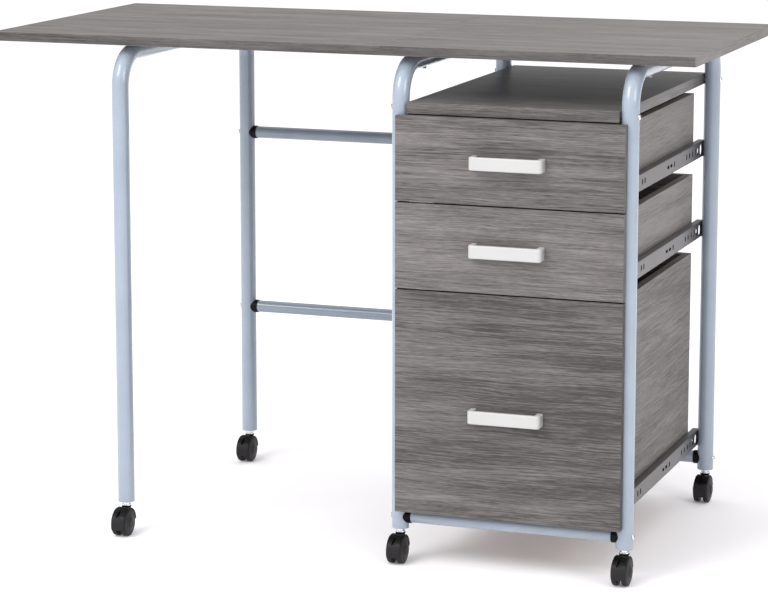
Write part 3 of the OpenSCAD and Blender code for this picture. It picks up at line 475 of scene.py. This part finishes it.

# %% [markdown]
# ## The solid nodes' finishes
# Every solid node keeps its shape, and its material slots get the finish of its record
# slot. Three kinds of node have a finish of their own. The runners behind the slide rails
# are black; this black stands in for the shade in the slots of the rails, so they read
# dark. The swinging frame's rails are painted darker than the frames, as painted shade
# from the desktop above them. The screws under the desktop are painted like the frames.
# Where a node is swapped for a mesh below, the mesh brings its own finish.

# %% Dress the solid nodes
FINISH = {
    "wood": oak, "board_core": hardboard, "powder_coat": powder_blue, "black_plastic": cap_black,
    "charcoal_plastic": hood_tones, "bright_steel": zinc, "dark_steel": slide_steel,
    "white_enamel": satin_white,
}
slot_of = {part["node"]: part["material_slot"] for part in frame["record"]["subparts"]}


def finish_of(name):
    """The finish of a solid node."""
    if name.endswith("_runners"):
        return runner_black_and_slot_shade
    # The swinging frame's rails get the darker blue, as painted shade.
    if name.startswith("gate_") and name.endswith("_rail"):
        return rail_blue_in_painted_shade
    if name == "top_screws":
        return powder_blue
    return FINISH[slot_of[name]]


for name, thing in frame["nodes"].items():
    for material_slot in thing.material_slots:
        material_slot.material = finish_of(name)
print("dressed", len(slot_of), "solid nodes")

# %% [markdown]
# ## Boards with softened edges
# A laminated board is never knife-sharp: the edging is trimmed to a tiny radius. Each board
# starts as a box from the solid node's corners. Its upright corners are rounded where the
# real ones are, its long narrow sides get the edging's material, and every edge gets a
# small bevel, so that it catches light.

# %% Board helpers
ALONG_DESK, TO_REAR = 0, 1
DECOR, EDGING = 0, 1
TRIM, TRIM_STEPS = 0.5 * MM, 2
CORNER, CORNER_STEPS = 3.0 * MM, 6
# Points that are nearer than this lie level, and an edge that turns by more radians is sharp.
NEAR, SHARP_TURN = 0.1 * MM, 0.6
SEED_STEP = 0.37


def span(bm, axis):
    """How far a mesh reaches along one axis."""
    places = [vert.co[axis] for vert in bm.verts]
    return max(places) - min(places)


def lay_grain(bm, along):
    """Flat coordinates in metres: first along the grain, then across it."""
    layer = bm.loops.layers.uv.new("grain")
    for face in bm.faces:
        flat = max(range(3), key=lambda axis: abs(face.normal[axis]))
        sides = [axis for axis in range(3) if axis != flat]
        first = along if along in sides else max(sides, key=lambda axis: span(bm, axis))
        second = next(axis for axis in sides if axis != first)
        for loop in face.loops:
            loop[layer].uv = (loop.vert.co[first], loop.vert.co[second])


def soften(bm, edges, offset, segments, **values):
    """Rounds edges off to an offset."""
    bmesh.ops.bevel(bm, geom=edges, offset=offset, segments=segments, profile=0.5, affect="EDGES", **values)


def finish_mesh(bm, name, materials, **values):
    """An object with smooth shading from a bmesh. Each value, a number or a function of the
    place, is kept on the points."""
    mesh = bpy.data.meshes.new(name)
    bm.normal_update()
    bm.to_mesh(mesh)
    bm.free()
    for material in materials:
        mesh.materials.append(material)
    for label, value in values.items():
        layer = mesh.attributes.new(label, "FLOAT", "POINT")
        layer.data.foreach_set("value", [value(v.co) if callable(value) else value for v in mesh.vertices])
    mesh.polygons.foreach_set("use_smooth", [True] * len(mesh.polygons))
    made = bpy.data.objects.new(name, mesh)
    bpy.context.scene.collection.objects.link(made)
    return made


def weight_normals(thing):
    """Keeps the broad faces flat and lets only the bevels turn the light."""
    lean = thing.modifiers.new("weighted normals", "WEIGHTED_NORMAL")
    lean.keep_sharp = True
    return thing


def make_board(name, low, high, along, seed, corner_side=0, shade=(0.0, 0.0), sheets=(oak, oak_edge)):
    """A board between two corners, with edging, trimmed edges and its own stretch of grain.

    The corner side is 1 or -1 where the upright corners at the right or left end are
    rounded, and 0 where none are.
    The shade is given for the board's left and right end: above 0 it is lighter than its
    neighbours, and below 0 darker.
    """
    bm = bmesh.new()
    bmesh.ops.create_cube(bm, size=1)
    for vert in bm.verts:
        vert.co = Vector(high[i] if vert.co[i] > 0 else low[i] for i in range(3))
    if corner_side:
        outer = high[0] if corner_side > 0 else low[0]
        upright = [e for e in bm.edges if all(abs(v.co.x - outer) < NEAR for v in e.verts)
                   and abs(e.verts[0].co.z - e.verts[1].co.z) > NEAR]
        soften(bm, upright, CORNER, CORNER_STEPS)
    thin = min(range(3), key=lambda axis: high[axis] - low[axis])
    for face in bm.faces:
        is_end = thin != 0 and abs(face.normal.x) > 0.5
        is_narrow = abs(face.normal[thin]) < 0.5
        face.material_index = EDGING if is_narrow and not is_end else DECOR
    sharp = [e for e in bm.edges if len(e.link_faces) == 2 and e.calc_face_angle(0) > SHARP_TURN]
    soften(bm, sharp, TRIM, TRIM_STEPS, material=DECOR)
    bm.normal_update()
    lay_grain(bm, along)

    # A shade that changes from end to end is painted light or shade.
    def shade_at(place):
        """The shade at a place, between those of the two ends."""
        return shade[0] + (shade[1] - shade[0]) * (place.x - low[0]) / (high[0] - low[0])

    return weight_normals(finish_mesh(bm, name, sheets, seed=seed * SEED_STEP, shade=shade_at))


print("board helpers ready")

# %% [markdown]
# ## Desktop and shelf
# The fixed board and the leaf meet in a fine seam just beyond the left side of the drawers.
# Their outer corners are rounded, and the corners at the seam are square. The shelf lies
# under the fixed board and shows its front edge. On all three the grain runs along the
# desk.

# %% Desktop and shelf boards
# Each has its node, its body, its rounded side, its shade at the two ends and its sheets.
DESKTOP_BOARDS = (
    # Painted light: the fixed board's shade rises to the right, a painted reflection that lightens its right
    # end.
    ("fixed_top", "pedestal", 1, (0.020, 0.062), (oak, oak_rim)),
    ("leaf", "leaf", -1, (0.020, 0.026), (oak, oak_rim)),
    ("storage_shelf", "pedestal", 0, (-0.014, -0.014), (oak_shelf, oak_edge)),
)

for seed, (node_name, body, corner_side, shade, sheets) in enumerate(DESKTOP_BOARDS):
    low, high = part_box(node_name)
    made = make_board(node_name + "_board", low, high, ALONG_DESK, seed, corner_side, shade, sheets)
    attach(made, body)
    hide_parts(node_name)
    print(made.name, [round(v, 3) for v in Vector(high) - Vector(low)])

# %% [markdown]
# ## Shadow strip
# The upper drawer's front reaches almost to the shelf. A thin black strip under the shelf's
# front edge fills the slot that is left, as painted shadow, so it shows as a dark line.

# %% Shadow strip
STRIP_H, STRIP_T, STRIP_INSET = 4.0 * MM, 2.5 * MM, 3.0 * MM
STRIP_SEED = 3

shelf_low, shelf_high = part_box("storage_shelf")
# Painted shadow: a black strip that fills the gap under the shelf's front edge.
strip = make_board("painted_shadow_strip", (shelf_low[0] + STRIP_INSET, shelf_low[1] + TRIM, shelf_low[2] - STRIP_H),
                   (shelf_high[0] - STRIP_INSET, shelf_low[1] + TRIM + STRIP_T, shelf_low[2]),
                   ALONG_DESK, STRIP_SEED, sheets=(cap_black, cap_black))
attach(strip, "pedestal")
print("painted shadow strip hangs", round(STRIP_H / MM), "mm below the shelf")

# %% [markdown]
# ## Drawers
# Each drawer is a box of thin boards behind a wider front. On the fronts the grain runs
# along the desk, and on the sides it runs to the rear. Each front has its own tone, with
# painted shade over it: each darkens a little to the right, and the lower front is painted
# darker for the shade near the floor. The sides of the small drawers are painted lighter,
# as painted light. The two sides are one node, so its box is split in two at the
# thickness of a side.

# %% Drawer boards
LEVELS = ("upper", "middle", "lower")
SIDE_T = 12.0 * MM
# Each front's tone at its left and right end, with painted shade: darker to the right, darkest on the lower
# front.
FRONT_PAINTED_SHADE = {"upper": (-0.002, -0.034), "middle": (0.018, -0.010), "lower": (-0.036, -0.080)}
# Painted light: the sides of the upper and middle drawers are painted lighter.
SIDE_PAINTED_LIGHT = {"upper": 0.084, "middle": 0.084, "lower": 0.010}
FRONT_SEED, BACK_SEED, LEFT_SEED, RIGHT_SEED = 4, 8, 12, 16

for index, level in enumerate(LEVELS):
    body = level + "_drawer"
    front = make_board(level + "_front_board", *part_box(level + "_drawer_front"), ALONG_DESK,
                       FRONT_SEED + index, shade=FRONT_PAINTED_SHADE[level])
    back = make_board(level + "_back_board", *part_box(level + "_drawer_back"), ALONG_DESK,
                      BACK_SEED + index)
    low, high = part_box(level + "_drawer_sides")
    side_painted_light = (SIDE_PAINTED_LIGHT[level], SIDE_PAINTED_LIGHT[level])
    left = make_board(level + "_left_side_board", low, (low[0] + SIDE_T, high[1], high[2]), TO_REAR,
                      LEFT_SEED + index, shade=side_painted_light)
    right = make_board(level + "_right_side_board", (high[0] - SIDE_T, low[1], low[2]), high, TO_REAR,
                       RIGHT_SEED + index, shade=side_painted_light)
    for made, node_name in ((front, "front"), (back, "back"), (left, "sides"), (right, "sides")):
        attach(made, body)
        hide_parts(f"{level}_drawer_{node_name}")

# %% [markdown]
# ## Handles
# A handle is a cast bow: a flat bar whose ends turn back to the drawer. Its plan is drawn
# once as an outline with round bends and drawn out to the handle's height. Its outer edges
# get a generous bevel, which gives the bright line along the top that the real one has.

# %% Handle
BAR_T, POST_T, BEND_R, FILLET_R = 5 * MM, 8 * MM, 6 * MM, 1.5 * MM
BEND_STEPS, FILLET_STEPS = 8, 4
OUTER_EDGE, OUTER_STEPS = 1.9 * MM, 5
INNER_EDGE, INNER_STEPS = 0.6 * MM, 2


def arc(centre, radius, start, end, steps):
    """Points on an arc, angles in degrees."""
    turns = [math.radians(start + (end - start) * i / steps) for i in range(steps + 1)]
    return [(centre[0] + radius * math.cos(t), centre[1] + radius * math.sin(t)) for t in turns]


def draw_out(bm, points, direction):
    """A solid bar from a flat outline of points, drawn out along a direction."""
    face = bm.faces.new([bm.verts.new(point) for point in points])
    far = bmesh.ops.extrude_face_region(bm, geom=[face])["geom"]
    bmesh.ops.translate(bm, vec=direction, verts=[v for v in far if isinstance(v, bmesh.types.BMVert)])


def bow_plan(half, reach):
    """The bow's outline seen from above, with its feet at Y 0 and its bar in front of them."""
    inner, gap = half - POST_T, reach - BAR_T
    outer = [(-half, 0)] + arc((-half + BEND_R, -reach + BEND_R), BEND_R, 180, 270, BEND_STEPS)
    outer += arc((half - BEND_R, -reach + BEND_R), BEND_R, 270, 360, BEND_STEPS) + [(half, 0)]
    within = [(inner, 0)] + arc((inner - FILLET_R, -gap + FILLET_R), FILLET_R, 0, -90, FILLET_STEPS)
    within += arc((-inner + FILLET_R, -gap + FILLET_R), FILLET_R, -90, -180, FILLET_STEPS) + [(-inner, 0)]
    return outer + within


def make_handle(name, low, high):
    """A bow handle that fills the box between two corners; its feet are at the high Y."""
    half, reach = (high[0] - low[0]) / 2, high[1] - low[1]
    middle = (low[0] + high[0]) / 2
    bm = bmesh.new()
    draw_out(bm, [(middle + x, high[1] + y, low[2]) for x, y in bow_plan(half, reach)],
             (0, 0, high[2] - low[2]))
    bmesh.ops.recalc_face_normals(bm, faces=bm.faces)
    outside, inside = [], []
    for edge in bm.edges:
        is_level = abs(edge.verts[0].co.z - edge.verts[1].co.z) < NEAR
        ends = [(v.co.x - middle, v.co.y - high[1]) for v in edge.verts]
        if is_level and edge.calc_face_angle(0) > SHARP_TURN and any(y < -NEAR for _, y in ends):
            in_gap = all(abs(x) < half - POST_T + NEAR and y > BAR_T - reach - NEAR for x, y in ends)
            (inside if in_gap else outside).append(edge)
    soften(bm, outside, OUTER_EDGE, OUTER_STEPS)
    soften(bm, [e for e in inside if e.is_valid], INNER_EDGE, INNER_STEPS)
    bmesh.ops.triangulate(bm, faces=[f for f in bm.faces if len(f.verts) > 4])
    return weight_normals(finish_mesh(bm, name, (satin_white,)))


for level in LEVELS:
    made = make_handle(level + "_bow_handle", *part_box(level + "_drawer_handle"))
    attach(made, level + "_drawer")
    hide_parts(level + "_drawer_handle")
    print(made.name, len(made.data.polygons), "faces")

# %% [markdown]
# ## Slide rails
# The outer rail of a slide is rolled from thin sheet: a web against the legs, two flanges
# and a lip on each, with rounded bends that catch a line of light. The section is drawn
# once and drawn out along the rail, then slots and the two rear windows are cut out. Their
# places are measured from the rail's front end. Their cut edges are painted black, as
# painted shade inside the openings.

# %% Slide rails
SHEET, FLANGE, LIP = 1.2 * MM, 11 * MM, 2.2 * MM
FOLD_R, FOLD_STEPS, SLOT_STEPS = 1.4 * MM, 4, 6
# Each opening in the web is given by its place, its height and its width.
UPRIGHT_SLOTS = [(place * MM, 9 * MM, 5.5 * MM) for place in (127, 141, 312, 387, 405, 424, 441)]
LEVEL_SLOTS = [(place * MM, 4.6 * MM, 12 * MM) for place in (275, 293)]
WINDOWS = [(458 * MM, 12 * MM, 9 * MM), (477 * MM, 17 * MM, 13 * MM)]


def slot_outline(y, z, tall, wide):
    """Points of a slot with round ends, in the Y-Z plane."""
    long, short = max(tall, wide), min(tall, wide)
    reach = (long - short) / 2
    ends = arc((reach, 0), short / 2, -90, 90, SLOT_STEPS) + arc((-reach, 0), short / 2, 90, 270, SLOT_STEPS)
    return [(y + b, z + a) if tall > wide else (y + a, z + b) for a, b in ends]


def rail_blank(web_x, inward, low, high):
    """The rolled section along the whole rail; inward is 1 when the drawer is at higher X."""
    half, middle = (high[2] - low[2]) / 2, (high[2] + low[2]) / 2
    outer = [(FLANGE, half - SHEET - LIP), (FLANGE, half), (0, half)]
    inner = [(SHEET, half - SHEET), (FLANGE - SHEET, half - SHEET), (FLANGE - SHEET, half - SHEET - LIP)]
    section = outer + [(x, -z) for x, z in reversed(outer)]
    section += [(x, -z) for x, z in reversed(inner)] + inner
    bm = bmesh.new()
    draw_out(bm, [(web_x + inward * x, low[1], middle + z) for x, z in section], (0, high[1] - low[1], 0))
    folds = [e for e in bm.edges if abs(e.verts[0].co.y - e.verts[1].co.y) > FLANGE
             and abs(abs(e.verts[0].co.z - middle) - half) < NEAR]
    soften(bm, folds, FOLD_R, FOLD_STEPS)
    bmesh.ops.recalc_face_normals(bm, faces=bm.faces)
    return bm


def rail_cutter(web_x, low, high):
    """All the slots and windows of one rail as solid bars across its web."""
    middle = (high[2] + low[2]) / 2
    bm = bmesh.new()
    for place, tall, wide in UPRIGHT_SLOTS + LEVEL_SLOTS + WINDOWS:
        outline = slot_outline(low[1] + place, middle, tall, wide)
        draw_out(bm, [(web_x - 2 * SHEET, y, z) for y, z in outline], (4 * SHEET, 0, 0))
    bmesh.ops.recalc_face_normals(bm, faces=bm.faces)
    return bm


def cut_away(thing, cutter):
    """Keeps of a thing what lies outside the cutter, whose material the cut edges get."""
    cut = thing.modifiers.new("cut", "BOOLEAN")
    cut.operation, cut.solver, cut.object = "DIFFERENCE", "EXACT", cutter
    cut.material_mode = "TRANSFER"
    whole = thing.evaluated_get(bpy.context.evaluated_depsgraph_get())
    mesh = bpy.data.meshes.new_from_object(whole)
    thing.modifiers.clear()
    thing.data = mesh
    bpy.data.objects.remove(cutter)


for level in LEVELS:
    low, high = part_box(level + "_slide_rails")
    for side, web_x, inward in (("left", low[0], 1), ("right", high[0], -1)):
        made = finish_mesh(rail_blank(web_x, inward, low, high), f"{level}_{side}_rail", (slide_steel,))
        # The cutter's black goes to the cut edges, as painted shade inside the openings.
        cut_away(made, finish_mesh(rail_cutter(web_x, low, high), "cutter", (runner_black_and_slot_shade,)))
        weight_normals(made)
        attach(made, "pedestal")
        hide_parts(level + "_slide_rails")
    print(level, "rails:", len(made.data.polygons), "faces and", len(made.data.materials), "materials each")

# %% [markdown]
# ## Caster wheels
# Two wheels share an axle. Each is a turned shape whose outer side is a shallow dome, with
# a raised ring at the rim, a sunk disc and a hub cap. One half outline is written out from
# the side that faces the other wheel to the hub cap. Its mirror image makes the other
# wheel, and both are spun round in one go. Faces near the rim get the tread material and
# the rest get the disc's.

# %% Wheels
WHEEL_R, WHEEL_IN, WHEEL_OUT = 20 * MM, 4 * MM, 15 * MM
AXLE_R, DOME_H, RING_W, DISH, HUB_R = 3 * MM, 4.5 * MM, 4 * MM, 0.8 * MM, 7.5 * MM
DOME_R = (WHEEL_R ** 2 + DOME_H ** 2) / (2 * DOME_H)
PIT_EDGE, PIT_FOOT = 2.6 * MM, 2.2 * MM
SOFT = 0.35 * MM
SPIN_STEPS = 72
TREAD, DISC, TREAD_FROM = 0, 1, 18.9 * MM


def dome(r, sunk=0.0):
    """A point of the wheel's outer side at a distance from the axle."""
    return (WHEEL_OUT - sunk - DOME_R + math.sqrt(DOME_R ** 2 - r ** 2), r)


def dome_run(start, end, sunk=0.0, steps=5):
    """Points of the outer side from one distance to another."""
    return [dome(start + (end - start) * i / steps, sunk) for i in range(steps + 1)]


ring_in = WHEEL_R - RING_W
tread_edge = dome(WHEEL_R)[0]
half_outline = [(WHEEL_IN, AXLE_R), (WHEEL_IN, WHEEL_R - SOFT), (WHEEL_IN + SOFT, WHEEL_R),
                (tread_edge - SOFT, WHEEL_R), dome(WHEEL_R - SOFT / 2)]
half_outline += dome_run(WHEEL_R - 2 * SOFT, ring_in + SOFT) + dome_run(ring_in - SOFT, HUB_R + SOFT, DISH)
half_outline += dome_run(HUB_R - SOFT, PIT_EDGE) + [dome(PIT_FOOT, SOFT), dome(0, SOFT)]
wheel_outline = [(-x, r) for x, r in reversed(half_outline)] + half_outline
spin = [2 * math.pi * i / SPIN_STEPS for i in range(SPIN_STEPS)]


def make_wheels(name, axle):
    """Both wheels of a caster, turned about an axle along X through a point."""
    bm = bmesh.new()
    rings = []
    for x, r in wheel_outline:
        points = [(x, r * math.cos(t), r * math.sin(t)) for t in spin] if r else [(x, 0, 0)]
        rings.append([bm.verts.new(axle + Vector(point)) for point in points])
    for near, far in zip(rings, rings[1:]):
        for i in range(SPIN_STEPS):
            j = (i + 1) % SPIN_STEPS
            corners = [near[i % len(near)], near[j % len(near)], far[j % len(far)], far[i % len(far)]]
            bm.faces.new(list(dict.fromkeys(corners)))
    bmesh.ops.recalc_face_normals(bm, faces=bm.faces)
    for face in bm.faces:
        reach = (face.calc_center_median() - axle).yz.length
        face.material_index = TREAD if reach > TREAD_FROM else DISC
    return weight_normals(finish_mesh(bm, name, (tread_black, disc_grey)))


CASTERS = [f"{side}_{end}" for side in ("left", "inner", "right") for end in ("front", "rear")]
for caster in CASTERS:
    low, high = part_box(caster + "_caster_wheels")
    made = make_wheels(caster + "_wheel_pair", (Vector(low) + Vector(high)) / 2)
    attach(made, caster + "_wheels")
    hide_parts(caster + "_caster_wheels")
print("wheel pairs:", len(CASTERS))

# %% [markdown]
# ## The last update
# The view layer is updated once more, so that every piece's place is current.

# %% Finish
bpy.context.view_layer.update()
